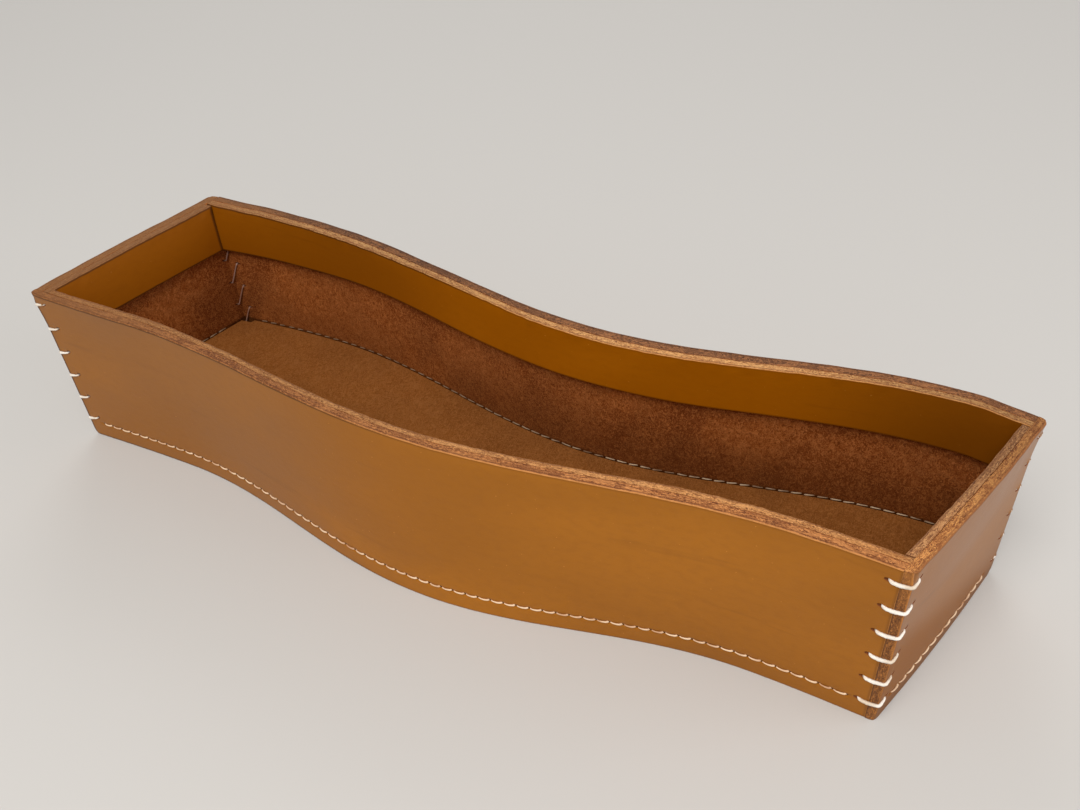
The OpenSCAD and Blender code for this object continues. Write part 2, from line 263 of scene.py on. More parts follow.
def section(depths, heights, rows, rounds, outer, inner):
    """Rounded cross-section of a strip as points (depth, height, outward way in both, zone). rounds are
    the radii of its arrises on the outer and on the inner side."""
    (d0, d1), (z0, z1), (r0, r1) = depths, heights, rounds

    def turn(depth, z, r, first, zones):
        ways = [math.radians(first - 30 * i) for i in range(4)]
        return [(depth + r * math.cos(t), z + r * math.sin(t), math.cos(t), math.sin(t), zone)
                for t, zone in zip(ways, zones)]

    ring = [(d0, z, -1, 0, outer) for z in rows]
    ring += turn(d0 + r0, z1 - r0, r0, 180, (outer, outer, "edge", "edge"))
    ring += [(d0 + (d1 - d0) * i / 6, z1, 0, 1, "edge") for i in (2, 3, 4)]
    ring += turn(d1 - r1, z1 - r1, r1, 90, ("edge", "edge", inner, inner))
    ring += [(d1, z, 1, 0, inner) for z in reversed(rows)]
    ring += turn(d1 - r1, z0 + r1, r1, 0, (inner, inner, "edge", "edge"))
    ring += [(d0 + (d1 - d0) * i / 6, z0, 0, -1, "edge") for i in (4, 3, 2)]
    return ring + turn(d0 + r0, z0 + r0, r0, -90, ("edge", "edge", outer, outer))


def new_mesh(name, verts, edges, faces, materials=()):
    mesh = bpy.data.meshes.new(name)
    mesh.from_pydata(verts, edges, faces)
    for material in materials:
        mesh.materials.append(material)
    return mesh


def new_object(name, data):
    made = bpy.data.objects.new(name, data)
    bpy.context.scene.collection.objects.link(made)
    return made


# The fibres of a cut end are drawn this far from those of the edges, in mm of the pattern.
CAP_COLUMNS, CAP_AWAY = 5, (200, 30)


def make_strip(name, row, ring, rows, shape, finishes, press=None):
    """Lofts a strip of leather: ring after ring along its stations, closed with a cut face at both ends.
    shape gives the final depth, height and slide of each point, and press moves the finished points."""
    n, verts, faces, uvs, kinds, arris, deep, ends = len(ring), [], [], [], [], [], [], []
    around = [0.0]
    for p, q in zip(ring, ring[1:] + ring[:1]):
        around.append(around[-1] + math.hypot(q[0] - p[0], q[1] - p[1]))
    low, high = min(p[1] for p in ring), max(p[1] for p in ring)
    first, last = row[0][0].s, row[-1][0].s

    def add_point(station, depth, z):
        away = min(station.s - first, last - station.s)
        verts.append(station.point(*shape(station.s, depth, z, away)))
        arris.append(min(z - low, high - z, away))
        deep.append(depth)
        ends.append(away)
        return len(verts) - 1

    for station, inset in row:
        for depth, z, out_d, out_z, zone in ring:
            add_point(station, depth - out_d * inset, z - out_z * inset)
    for i in range(len(row) - 1):
        s0, s1 = row[i][0].s, row[i + 1][0].s
        rounded = row[i][1] + row[i + 1][1] > END_ROUND * 0.4
        for j in range(n):
            m = (j + 1) % n
            a0, a1 = around[j], around[j + 1]
            faces.append((i * n + j, (i + 1) * n + j, (i + 1) * n + m, i * n + m))
            uvs += [(s0 * MM, a0 * MM), (s1 * MM, a0 * MM), (s1 * MM, a1 * MM), (s0 * MM, a1 * MM)]
            zone = ring[j][4] if ring[j][4] == ring[m][4] else "edge"
            kinds.append("end" if rounded else zone)
    # The caps: a grid of quads across each cut end, and one face each above and below it.
    levels = len(rows)
    back = next(j for j in range(levels, n) if ring[j][2:4] == (1, 0) and ring[j][1] == rows[-1])
    for end in (0, len(row) - 1):
        station = row[end][0]
        across = []
        for r in range(levels):
            left, right = end * n + r, end * n + back + levels - 1 - r
            d0, d1 = ring[r][0] + END_ROUND, ring[back][0] - END_ROUND
            inner = [add_point(station, d0 + (d1 - d0) * c / CAP_COLUMNS, rows[r])
                     for c in range(1, CAP_COLUMNS)]
            across.append([left] + inner + [right])
        caps = [(across[r][c], across[r + 1][c], across[r + 1][c + 1], across[r][c + 1])
                for r in range(levels - 1) for c in range(CAP_COLUMNS)]
        caps.append(tuple([end * n + j for j in range(levels - 1, back + 1)] + across[-1][-2:0:-1]))
        caps.append(tuple([end * n + j % n for j in range(back + levels - 1, n + 1)] + across[0][1:-1]))
        if end:
            caps = [cap[::-1] for cap in caps]
        for cap in caps:
            faces.append(cap)
            uvs += [((verts[c].z + CAP_AWAY[0]) * MM, (deep[c] + CAP_AWAY[1]) * MM) for c in cap]
            kinds.append("end")
    if press:
        press(verts)
    mesh = new_mesh(name, [(p + SHIFT) * MM for p in verts], [], faces, finishes.values())
    layer = mesh.uv_layers.new(name="cut")
    layer.data.foreach_set("uv", [c for uv in uvs for c in uv])
    for label, values in (("arris", arris), ("deep", deep), ("away", ends)):
        mesh.attributes.new(label, "FLOAT", "POINT").data.foreach_set("value", values)
    zones = list(finishes)
    mesh.polygons.foreach_set("material_index", [zones.index(kind) for kind in kinds])
    mesh.polygons.foreach_set("use_smooth", [True] * len(faces))
    mesh.validate()
    return new_object(name, mesh)


def bake(piece):
    """Keeps what the modifiers make as the mesh itself, shaded flat across the cut arrises only."""
    mesh = bpy.data.meshes.new_from_object(piece.evaluated_get(bpy.context.evaluated_depsgraph_get()))
    piece.modifiers.clear()
    piece.data = mesh
    mesh.set_sharp_from_angle(angle=math.radians(48))


def srgb(*rgb):
    shares = (c / 255 for c in rgb)
    return tuple(c / 12.92 if c <= 0.04045 else ((c + 0.055) / 1.055) ** 2.4 for c in shares) + (1.0,)


class Nodes:
    """What both kinds of node tree have. The methods add nodes and return the socket or sockets to use."""

    def feed(self, socket, value):
        if isinstance(value, bpy.types.NodeSocket):
            self.tree.links.new(value, socket)
        else:
            socket.default_value = value

    def add(self, kind, inputs=None, **settings):
        node = self.tree.nodes.new(kind)
        for key, value in settings.items():
            setattr(node, key, value)
        for key, value in (inputs or {}).items():
            self.feed(node.inputs[key], value)
        return node.outputs

    def maths(self, operation, a, b=0.0):
        return self.add("ShaderNodeMath", {0: a, 1: b}, operation=operation)[0]

    def plus(self, a, b):
        return self.maths("ADD", a, b)

    def minus(self, a, b):
        return self.maths("SUBTRACT", a, b)

    def times(self, a, b):
        return self.maths("MULTIPLY", a, b)


class Finish(Nodes):
    """A procedural material. dye() starts its colour from two, and lay() puts a coat over it, from none
    at share 0 to full at 1."""

    def __init__(self, name, roughness):
        self.material = bpy.data.materials.new(name)
        self.material.use_nodes = True
        self.tree = self.material.node_tree
        self.shader = self.tree.nodes["Principled BSDF"]
        self.shader.inputs["Roughness"].default_value = roughness
        self.uv = self.add("ShaderNodeUVMap", uv_map="cut")[0]
        self.place = self.add("ShaderNodeTexCoord")["Object"]

    def split(self, place):
        return self.add("ShaderNodeSeparateXYZ", {0: place})

    def noise(self, where, stretch, scale, detail=2.0, roughness=0.5, distortion=0.0):
        where = self.add("ShaderNodeMapping", {"Vector": where, "Scale": stretch})[0]
        inputs = {"Vector": where, "Scale": scale, "Detail": detail, "Roughness": roughness,
                  "Distortion": distortion}
        return self.add("ShaderNodeTexNoise", inputs)["Fac"]

    def between(self, value, low, high, to_low=0.0, to_high=1.0):
        inputs = {"Value": value, "From Min": low, "From Max": high, "To Min": to_low, "To Max": to_high}
        return self.add("ShaderNodeMapRange", inputs, interpolation_type="SMOOTHSTEP")[0]

    def blend(self, share, a, b):
        return self.add("ShaderNodeMix", {0: share, 6: a, 7: b}, data_type="RGBA")[2]

    def dye(self, share, a, b):
        self.colour = self.blend(share, srgb(*a), srgb(*b))

    def lay(self, share, rgb):
        self.colour = self.blend(share, self.colour, srgb(*rgb))

    def apart(self, a, b):
        return self.maths("ABSOLUTE", self.minus(a, b))

    def attribute(self, name):
        return self.add("ShaderNodeAttribute", attribute_name=name)["Fac"]

    def bump(self, height, distance, strength=1.0, under=None):
        inputs = {"Height": height, "Distance": distance, "Strength": strength}
        if under:
            inputs["Normal"] = under
        return self.add("ShaderNodeBump", inputs)[0]

    def set(self, **sockets):
        for name, value in sockets.items():
            self.feed(self.shader.inputs[name.replace("_", " ")], value)
        return self.material


# Places in materials are in metres from the middle of the tray.
# Reach of the painted shade on the arrises towards the left end, where less light falls.
ARRIS_SHADE_REACH = (-0.06, 0.02)


def toward_left(f, most, reach):
    """Share that grows towards the left end of the tray: painted shade and grey sheen where less light
    falls there, the fading of painted highlights, the wear of the cut edges and a duller inner thread.
    """
    return f.between(f.split(f.place)[0], *reach, most, 0.0)


def toward_far_right(f, most):
    """Share that grows towards the far right corner, for painted shade where the light falls off there."""
    spot = f.split(f.place)
    return f.between(f.plus(spot[0], spot[1]), 0.125, 0.215, 0.0, most)


# Colours of painted shade in prick holes and on arrises, of the darkening low on the flesh side and its line
# of painted shade by the floor, of worn edges, and black for painted shade.
SHADE_BROWN, LOW_DARK_BROWN, EDGE_WORN, BLACK = (64, 32, 10), (42, 16, 0), (165, 109, 60), (0, 0, 0)
PRICK_RADII = (0.3 * MM, 0.6 * MM)


def grain_side(name, colours, burnish_and_shade, rough, line, sheen_and_shade, pricks=(), shaded_low=False, far_right_shade=0.0):
    """Smooth dyed and waxed grain: soft clouds of dye, fine pores, faint creases along the strip, a
    burnished arris with a thin line on it that is a painted highlight turning to painted shade towards
    the left end, painted shade and grey sheen towards the left end, painted shade towards the far right
    corner and low down towards the right, and dark prick holes between the stitches of a seam (from
    and to, in mm), painted as the shade inside them."""
    f = Finish(name, rough)
    dark, light, fleck, speck, *low_shade_tones = colours
    x, y, z = f.split(f.place)
    clouds = f.noise(f.place, (1, 1, 2.2), 9, 2, 0.45, 0.3)
    flecks = f.noise(f.uv, (1, 1.7, 1), 210, 4, 0.62)
    crease = f.between(f.noise(f.uv, (11, 150, 1), 1, 3, 0.6, 0.7), 0.6, 0.72)
    specks = f.noise(f.uv, (1, 1, 1), 900, 1, 0.4)
    f.dye(f.between(clouds, 0.34, 0.66), dark, light)
    f.lay(f.between(flecks, 0.4, 0.72, 0.0, 0.2), fleck)
    f.lay(f.times(crease, 0.16), burnish_and_shade)
    f.lay(f.between(specks, 0.76, 0.8, 0.0, 0.5), speck)
    # Painted shade and grey sheen towards the left end, where the wall gets less light and reflects grey;
    # less of it low down.
    f.lay(f.times(toward_left(f, 0.38, (-0.11, 0.0)), f.between(z, 0.0, 0.06, 0.4, 1.0)), sheen_and_shade)
    # Painted shade low down towards the right, where the floor lights the wall less.
    f.lay(f.times(f.between(z, 0.0, 0.06, 0.25, 0.0), f.between(x, 0.0, 0.12)), burnish_and_shade)
    # Painted shade towards the far right corner, where the light falls off.
    f.lay(toward_far_right(f, far_right_shade), sheen_and_shade)
    arris = f.plus(f.attribute("arris"), f.times(flecks, 0.5))
    f.lay(f.between(arris, 0.6, 1.5, 0.4, 0.0), burnish_and_shade)
    # The line on the arris is a painted highlight that turns to painted shade towards the left end, where the
    # arris also gets more painted shade.
    wear_and_shade = toward_left(f, 1.0, ARRIS_SHADE_REACH)
    arris_line = f.blend(wear_and_shade, srgb(*line), srgb(*burnish_and_shade))
    f.colour = f.blend(f.between(arris, 0.25, 0.5, 0.7, 0.0), f.colour, arris_line)
    f.lay(f.times(wear_and_shade, f.between(arris, 0.7, 1.5, 0.7, 0.0)), SHADE_BROWN)
    # Dark prick holes between the stitches, painted as the shade inside each hole.
    if pricks:
        along = f.split(f.uv)[0]
        first, last = pricks[0] * MM, pricks[1] * MM
        beat = f.maths("PINGPONG", f.minus(along, first), SEAM_PITCH / 2 * MM)
        off = f.minus(z, SEAM_HEIGHT * MM)
        off = f.maths("SQRT", f.plus(f.times(beat, beat), f.times(off, off)))
        inside = f.times(f.maths("GREATER_THAN", along, first - MM), f.maths("LESS_THAN", along, last + MM))
        f.lay(f.times(f.between(off, *PRICK_RADII, 0.85, 0.0), inside), SHADE_BROWN)
    pores = f.add("ShaderNodeTexVoronoi", {"Vector": f.uv, "Scale": 1500.0})["Distance"]
    normal = f.bump(f.between(pores, 0.0, 0.55), 0.00004, 0.5)
    normal = f.bump(flecks, 0.0002, 0.3, normal)
    normal = f.bump(crease, 0.0001, -0.5, normal)
    f.set(IOR=1.45, Specular_IOR_Level=0.24)
    if shaded_low:
        # The end wall gets painted shade low down towards its near end and along its foot, and its specular
        # level rises towards its top and far end, where it reflects more.
        reach = f.plus(f.plus(z, f.times(y, 0.4)), f.times(clouds, 0.012))
        low_shade_share = f.between(reach, 0.026, 0.052, 1.0, 0.0)
        f.lay(f.times(low_shade_share, 0.6), low_shade_tones[0])
        f.lay(f.between(z, 0.004, 0.009, 0.3, 0.0), sheen_and_shade)
        f.set(Specular_IOR_Level=f.between(low_shade_share, 0.0, 1.0, 0.42, 0.1))
    gloss = f.between(clouds, 0.3, 0.7, rough - 0.05, rough + 0.07)
    return f.set(Base_Color=f.colour, Roughness=gloss, Normal=normal)


def raw_edge(name, colours, wear_and_shade, line, line_at, far_right_shade=0.0):
    """Cut edge of the hide, sanded and waxed: fibres in wavering rows and curls, pale over dark, with
    a thin line along its free arris, which lies at a depth in mm: a painted highlight where its colour is
    light, fading towards the left end. The edge gets painted shade towards the left end and the far right
    corner."""
    f = Finish(name, 0.6)
    dark, pale, fibre, pit = colours
    rows = f.noise(f.uv, (70, 1400, 1), 1.0, 2, 0.55, 1.4)
    curls = f.noise(f.uv, (420, 1100, 1), 1.0, 2, 0.6, 1.8)
    curl = f.between(f.apart(curls, 0.5), 0.0, 0.06, 1.0, 0.0)
    specks = f.noise(f.uv, (900, 2300, 1), 1.0, 3, 0.65, 1.2)
    stains = f.noise(f.uv, (110, 420, 1), 1.0, 2, 0.55, 0.9)
    f.dye(f.between(rows, 0.42, 0.57), dark, pale)
    f.lay(f.times(curl, f.between(stains, 0.35, 0.6, 0.35, 0.9)), fibre)
    f.lay(f.between(specks, 0.4, 0.48, 0.95, 0.0), pit)
    f.lay(f.between(specks, 0.53, 0.6, 0.0, 0.85), fibre)
    f.lay(f.between(stains, 0.52, 0.64, 0.0, 0.55), dark)
    f.lay(f.between(stains, 0.36, 0.46, 0.45, 0.0), fibre)
    f.lay(toward_left(f, wear_and_shade, (-0.17, -0.09)), EDGE_WORN)
    # Painted shade towards the left end, where less light falls, and towards the far right corner, where the
    # light falls off.
    f.lay(toward_left(f, 0.3, (-0.08, 0.08)), BLACK)
    f.lay(toward_far_right(f, far_right_shade), BLACK)
    off = f.apart(f.attribute("deep"), line_at)
    f.lay(f.between(f.apart(off, 0.6), 0.1, 0.4, 0.5, 0.0), pit)
    # A thin line along the free arris, a painted highlight where its colour is light, fading towards the left
    # end where the arris lies in shade.
    bright = f.minus(1.0, toward_left(f, 1.0, ARRIS_SHADE_REACH))
    f.lay(f.times(f.between(off, 0.14, 0.34, 0.75, 0.0), bright), line)
    f.lay(f.between(f.attribute("away"), 0.1, 0.35, 0.6, 0.0), pit)
    height = f.plus(f.times(rows, 0.5), f.times(f.plus(specks, curl), 0.5))
    return f.set(Base_Color=f.colour, Normal=f.bump(height, 0.0004, 0.6), IOR=1.4, Specular_IOR_Level=0.3)


def cut_end(name, colours):
    """Cut end of a wall, dyed and rubbed smooth: long dark fibres up and down, golden at the arris."""
    f = Finish(name, 0.5)
    dark, pale, golden, pit = colours
    fibres = f.noise(f.uv, (110, 1300, 1), 1.0, 3, 0.6, 0.8)
    specks = f.noise(f.uv, (700, 1700, 1), 1.0, 2, 0.6, 1.0)
    high, deep = f.split(f.place)[2], f.attribute("deep")
    f.dye(f.between(fibres, 0.36, 0.64), dark, pale)
    f.lay(f.between(specks, 0.54, 0.64, 0.0, 0.55), golden)
    f.lay(f.between(specks, 0.38, 0.47, 0.7, 0.0), pit)
    f.lay(f.between(high, 0.058, 0.077, 0.0, 0.3), golden)
    f.lay(f.between(deep, 2.6, 3.1, 0.0, 0.7), pit)
    f.lay(f.times(f.between(deep, 0.1, 0.7, 0.7, 0.0), f.between(high, 0.0, 0.05, 0.3, 1.0)), golden)
    height = f.plus(fibres, f.times(specks, 0.6))
    return f.set(Base_Color=f.colour, Normal=f.bump(height, 0.0004, 0.5), IOR=1.4, Specular_IOR_Level=0.3)


def flesh_side(name, colours, rough=0.95, nap_share=0.6, low_darkening=0.0):
    """Flesh side of the hide: short nap brushed this way and that, light tips and loose fibres over
    dark roots, darker low down, and a line of painted shade in the corner by the floor."""
    f = Finish(name, rough)
    dark, light, root, tip = colours
    brushed = f.noise(f.place, (1, 1, 0.8), 17, 3, 0.55, 0.9)
    tufts = f.noise(f.uv, (1, 0.8, 1), 330, 4, 0.7, 1.5)
    nap = f.noise(f.uv, (1, 0.6, 1), 1150, 2, 0.7, 1.8)
    hairs = f.noise(f.uv, (520, 800, 1), 1.0, 2, 0.5, 2.6)
    hair = f.between(f.apart(hairs, 0.5), 0.0, 0.045, 1.0, 0.0)
    patches = f.noise(f.place, (1, 1, 1), 34, 2, 0.5, 0.5)
    f.dye(f.between(brushed, 0.34, 0.66), dark, light)
    tips = f.times(f.between(tufts, 0.44, 0.68), f.between(brushed, 0.3, 0.62, 0.35, 1.0))
    f.lay(f.times(tips, nap_share), tip)
    f.lay(f.between(nap, 0.5, 0.62, 0.0, nap_share), tip)
    f.lay(f.between(nap, 0.36, 0.48, nap_share, 0.0), root)
    loose = f.times(hair, f.between(patches, 0.42, 0.58, 0.15, nap_share * 1.4))
    f.lay(loose, tip)
    if low_darkening:
        spot = f.split(f.place)
        darker_share = f.between(f.plus(spot[2], f.times(brushed, 0.02)), 0.026, 0.06, low_darkening, 0.0)
        f.lay(f.times(darker_share, f.between(spot[0], -0.09, 0.02, 0.6, 1.0)), LOW_DARK_BROWN)
        # A line of painted shade along the corner where the wall meets the floor.
        f.lay(f.between(spot[2], 0.0152, 0.0168, 0.75, 0.0), LOW_DARK_BROWN)
    height = f.plus(f.times(tufts, 0.8), f.plus(nap, f.times(loose, 0.6)))
    f.set(Sheen_Weight=0.18, Sheen_Roughness=0.5, Sheen_Tint=srgb(230, 140, 70), Specular_IOR_Level=0.1)
    return f.set(Base_Color=f.colour, Normal=f.bump(height, 0.0005, 0.7), IOR=1.35)


def seam_count(k):
    return math.floor((SEAM_WAYS[k][-1] - 2 * SEAM_MARGIN) / SEAM_PITCH) + 1


def seam_end(k):
    return SEAM_MARGIN + (seam_count(k) - 1) * SEAM_PITCH


# Colours of each hide. The colour given after the arris line is that of painted shade and grey sheen, and the
# end wall's fifth colour is its painted shade low down towards the near end.
LONG_HIDE = {"colours": ((158, 96, 14), (174, 107, 18), (142, 84, 18), (226, 150, 70)),
             "burnish_and_shade": (96, 54, 16), "rough": 0.4, "line": (206, 140, 72), "sheen_and_shade": (118, 84, 56)}
END_HIDE = {"colours": ((155, 97, 34), (166, 106, 40), (134, 82, 40), (214, 146, 86), (144, 86, 27)),
            "burnish_and_shade": (98, 58, 30), "rough": 0.36, "line": (198, 138, 98), "sheen_and_shade": (78, 50, 34)}
HIDES = (LONG_HIDE, END_HIDE, LONG_HIDE, LONG_HIDE)
# Dark, pale, fibre and pit colours of each cut edge, and the colour of the line along its arris, a
# painted highlight where it is light, as on the near wall.
WALL_EDGES = (
    (((128, 70, 32), (168, 102, 50), (222, 150, 88), (98, 50, 24)), (212, 144, 80)),
    (((150, 88, 44), (186, 118, 64), (236, 168, 96), (110, 58, 28)), (156, 98, 56)),
    (((104, 64, 38), (128, 82, 49), (178, 118, 72), (72, 40, 22)), (108, 70, 44)),
    (((138, 88, 48), (162, 108, 62), (190, 136, 84), (110, 66, 34)), (150, 100, 56)))
# Share of painted shade towards the far right corner on the right wall's cut edge and the facings' cut edges.
CORNER_SHADE = 0.38
wall_flesh = flesh_side("wall_flesh_side", ((116, 54, 17), (148, 78, 29), (80, 35, 8), (204, 128, 70)),
                        low_darkening=0.48)
wall_end = cut_end("wall_cut_end", ((116, 68, 28), (148, 92, 40), (202, 132, 62), (78, 42, 16)))
punched = Finish("punched_leather", 0.9).set(Base_Color=srgb(138, 76, 34))


def wall_finish(k):
    pricks = (SEAM_MARGIN - SEAM_PITCH / 2, seam_end(k) + SEAM_PITCH / 2)
    colours, line = WALL_EDGES[k]
    grain = grain_side(WALLS[k] + "_wall_grain", **HIDES[k], pricks=pricks, shaded_low=k == RIGHT)
    far_right_shade = CORNER_SHADE if k == RIGHT else 0.0
    edge = raw_edge(WALLS[k] + "_wall_cut_edge", colours, 0.6, line, 0.2, far_right_shade)
    return {"grain": grain, "flesh": wall_flesh, "end": wall_end, "edge": edge}


# How far the lacing holes stand from the inner line of the corner: in the covered wall, and in the
# one that laps over it at each corner.
BUTT_INSET, LAP_INSETS = 4.4, (0.7, 1.2, 1.2, 1.2)
# How deep the middle of the thread sinks below its own radius at each corner, and how much more at the
# hole of the lapping wall, on the arris and at the hole of the covered wall.
LACE_SINKS, LAP_SINK, ARRIS_SINK, BUTT_SINK = (0.3, 0.25, 0.78, 0.35), 0.2, 0.12, 0.05
# It lies just inside the wall, crosses the arris a little above the covered hole, and sags beside it.
LACE_INSIDE, ARRIS_RISE, SLACK = 0.28, 0.35, 0.45


def lace_z(i):
    return TRAY_HEIGHT - LACE_TOP - i * (TRAY_HEIGHT - LACE_TOP - LACE_BOTTOM) / (LACE_COUNT - 1)


def corner_ways(k, z):
    """Steps from corner k along wall k and back along the wall before it, at height z."""
    foot, rim = corner_lines(k, FOOT), corner_lines(k, RIM)
    return [foot[i].lerp(rim[i], z / TRAY_HEIGHT) for i in (1, 2)]


def hole_spot(k, z, lap, depth):
    """Lacing hole at corner k, on the wall that laps over or on the covered one: its point at a
    depth in the leather, the way out of the leather there and the way along it from the corner."""
    onward, back = corner_ways(k, z)
    forward = lap == laps(k, True)
    along = (onward if forward else back).normalized()
    inward = left_of(along) * (1 if forward else -1)
    step = along * (LAP_INSETS[k] if lap else BUTT_INSET) + inward * (depth - WALL_THICKNESS)
    return corner_point(k, z, WALL_THICKNESS, WALL_THICKNESS) + step.to_3d(), -inward.to_3d(), along.to_3d()


def corner_stray(k, z):
    """How far the leather at corner k has strayed with its rim at height z."""
    onward, back = corner_ways(k, z)
    this_out = left_of(onward) * -RIM_STRAY[k][0][1]
    last_out = left_of(back) * RIM_STRAY[(k + 3) % 4][-1][1]
    return ((this_out + last_out) * rim_pull(z)).to_3d()


def lace_run(k, i):
    """Stitch i of the lacing at corner k: from inside the lapping wall, out, over the corner with a
    little slack, and back in through the covered wall. Each point comes with the thread's fullness."""
    high, low = lace_z(i) + LACE_SLANT, lace_z(i)
    out, back = LACE_THREAD / 2 - LACE_SINKS[k], WALL_THICKNESS + LACE_INSIDE
    lap_in, lap_out = (hole_spot(k, high, True, d)[0] for d in (back, -out + LAP_SINK))
    butt_out, butt_in = (hole_spot(k, low, False, d)[0] for d in (-out + BUTT_SINK, back))
    arris = corner_point(k, low + ARRIS_RISE, -out + ARRIS_SINK, -out + ARRIS_SINK)
    dip = butt_out.lerp(arris, 0.45) + Vector((0, 0, -SLACK))
    run = ((lap_in, 0.5), (lap_out, 0.62), (arris, 0.9), (dip, 1.04), (butt_out, 0.95), (butt_in, 0.5))
    return [(p + corner_stray(k, p.z), full) for p, full in run]


# How far round the thread points are looked at, and how much of its radius the leather gives way.
PRESS_REACH, PRESSED_SHARE, OUT_OF_REACH = 0.8, 0.75, 9.0


def pressed(p, track):
    """Where a point of the leather goes under the thread that lies along track."""
    hits = [intersect_point_line(p, a, b) for a, b in zip(track, track[1:])]
    near, share = min(hits, key=lambda hit: (hit[0] - p).length if 0 <= hit[1] <= 1 else OUT_OF_REACH)
    gap = p - near
    if not (0 <= share <= 1 and 0.01 < gap.length < LACE_THREAD / 2):
        return p
    return near + gap.normalized() * (PRESSED_SHARE * LACE_THREAD / 2 + (1 - PRESSED_SHARE) * gap.length)


def press_of_thread(corners):
    """The thread presses its own bed into the leather round each corner."""
    tracks = [[p for p, full in lace_run(k, i)[1:5]] for k in corners for i in range(LACE_COUNT)]

    def press(verts):
        for track in tracks:
            lows = [min(p[c] for p in track) - PRESS_REACH for c in range(3)]
            highs = [max(p[c] for p in track) + PRESS_REACH for c in range(3)]
            for at, p in enumerate(verts):
                if all(lows[c] < p[c] < highs[c] for c in range(3)):
                    verts[at] = pressed(p, track)
    return press


# Length, width, tilt in degrees and lift of an oval hole, in the lapping and in the covered wall.
LAP_HOLE, BUTT_HOLE = (2.5, 1.1, 32, 0.35), (2.5, 1.6, 8, 0.1)
HOLE_DRAWN, HOLE_SIDES = 0.55, 14


def add_cutter(verts, faces, k, z, lap):
    """Adds a cutter for one hole, drawn a little away from the corner by the pull of the thread."""
    length, width, tilt, lift = LAP_HOLE if lap else BUTT_HOLE
    base, n, tilt = len(verts), HOLE_SIDES, math.radians(tilt)
    turns = [2 * math.pi * i / n for i in range(n)]
    for depth in (-1.0, WALL_THICKNESS + 1.0):
        p, out, along = hole_spot(k, z, lap, depth)
        p = p + along * HOLE_DRAWN + corner_stray(k, z) + Vector((0, 0, lift))
        long_way = along * math.cos(tilt) + Vector((0, 0, 1)) * math.sin(tilt)
        across = out.cross(long_way)
        verts += [(p + long_way * length / 2 * math.cos(t) + across * width / 2 * math.sin(t) + SHIFT) * MM
                  for t in turns]
    faces += [tuple(range(base, base + n)), tuple(range(base + 2 * n - 1, base + n - 1, -1))]
    for i in range(n):
        m = (i + 1) % n
        faces.append((base + i, base + n + i, base + n + m, base + m))


def punch_holes(panel, k):
    """Cuts the lacing holes out of both ends of wall k."""
    verts, faces = [], []
    for corner, lap in ((k, laps(k, True)), ((k + 1) % 4, laps(k, False))):
        for i in range(LACE_COUNT):
            add_cutter(verts, faces, corner, lace_z(i) + (LACE_SLANT if lap else 0), lap)
    punch = new_object("punch", new_mesh("punch", verts, [], faces, [punched]))
    cut = panel.modifiers.new("holes", "BOOLEAN")
    cut.operation, cut.object, cut.solver = "DIFFERENCE", punch, "EXACT"
    cut.material_mode = "TRANSFER"
    bake(panel)
    bpy.data.objects.remove(punch)


def merged(rows, least):
    kept = []
    for z in sorted(rows):
        if not kept or z - kept[-1] >= least:
            kept.append(z)
    return kept


# Length of the faces along each piece, and heights of their rows: close together at the groove of the
# seam, at the lacing and by the rim.
WALL_STEP, FACING_STEP, FLOOR_STEP = 1.25, 1.6, 2.5
SEAM_ROWS = [1.0, 2.0, 3.5, 5.0, 6.2, 7.0, 7.5, 7.9, 8.25, 8.6, 8.95, 9.3, 9.7, 10.2, 11.0]
LACE_ROWS = [lace_z(i) - 1.0 + 0.38 * j for i in range(LACE_COUNT) for j in range(9)]
EVEN_ROWS, RIM_ROWS = [6.0 * i for i in range(2, 13)], [75.5, 76.8, 78.0]
WALL_ROWS = merged(SEAM_ROWS + [z for z in LACE_ROWS if z > 11.2] + EVEN_ROWS + RIM_ROWS, 0.3)
# An edge cut by hand wavers within CUT_REACH of it. A lapping arris is rounded at its top and its foot.
CUT_REACH, WORN_ROUND, TOP_FROM, TOP_OVER, FOOT_UP_TO = 3, 2.2, 73, 5, 3
GROOVE_DEPTH, DIMPLE_DEPTH, GROOVE_WIDTH, GROOVE_MARGIN = 0.22, 0.2, 0.75, 4


def round_off(away, depth, radius, share):
    """Rounds the upright arris of a cut end: away is the distance from the end, share how much of it."""
    if away >= radius or depth >= radius:
        return away, depth
    x, y = radius - away, radius - depth
    scale = max(x, y) / math.hypot(x, y)
    return away + (x - x * scale) * share, depth + (y - y * scale) * share


def waver(s, swing, beat, row):
    return swing * noise.noise(Vector((s * beat, *row)))


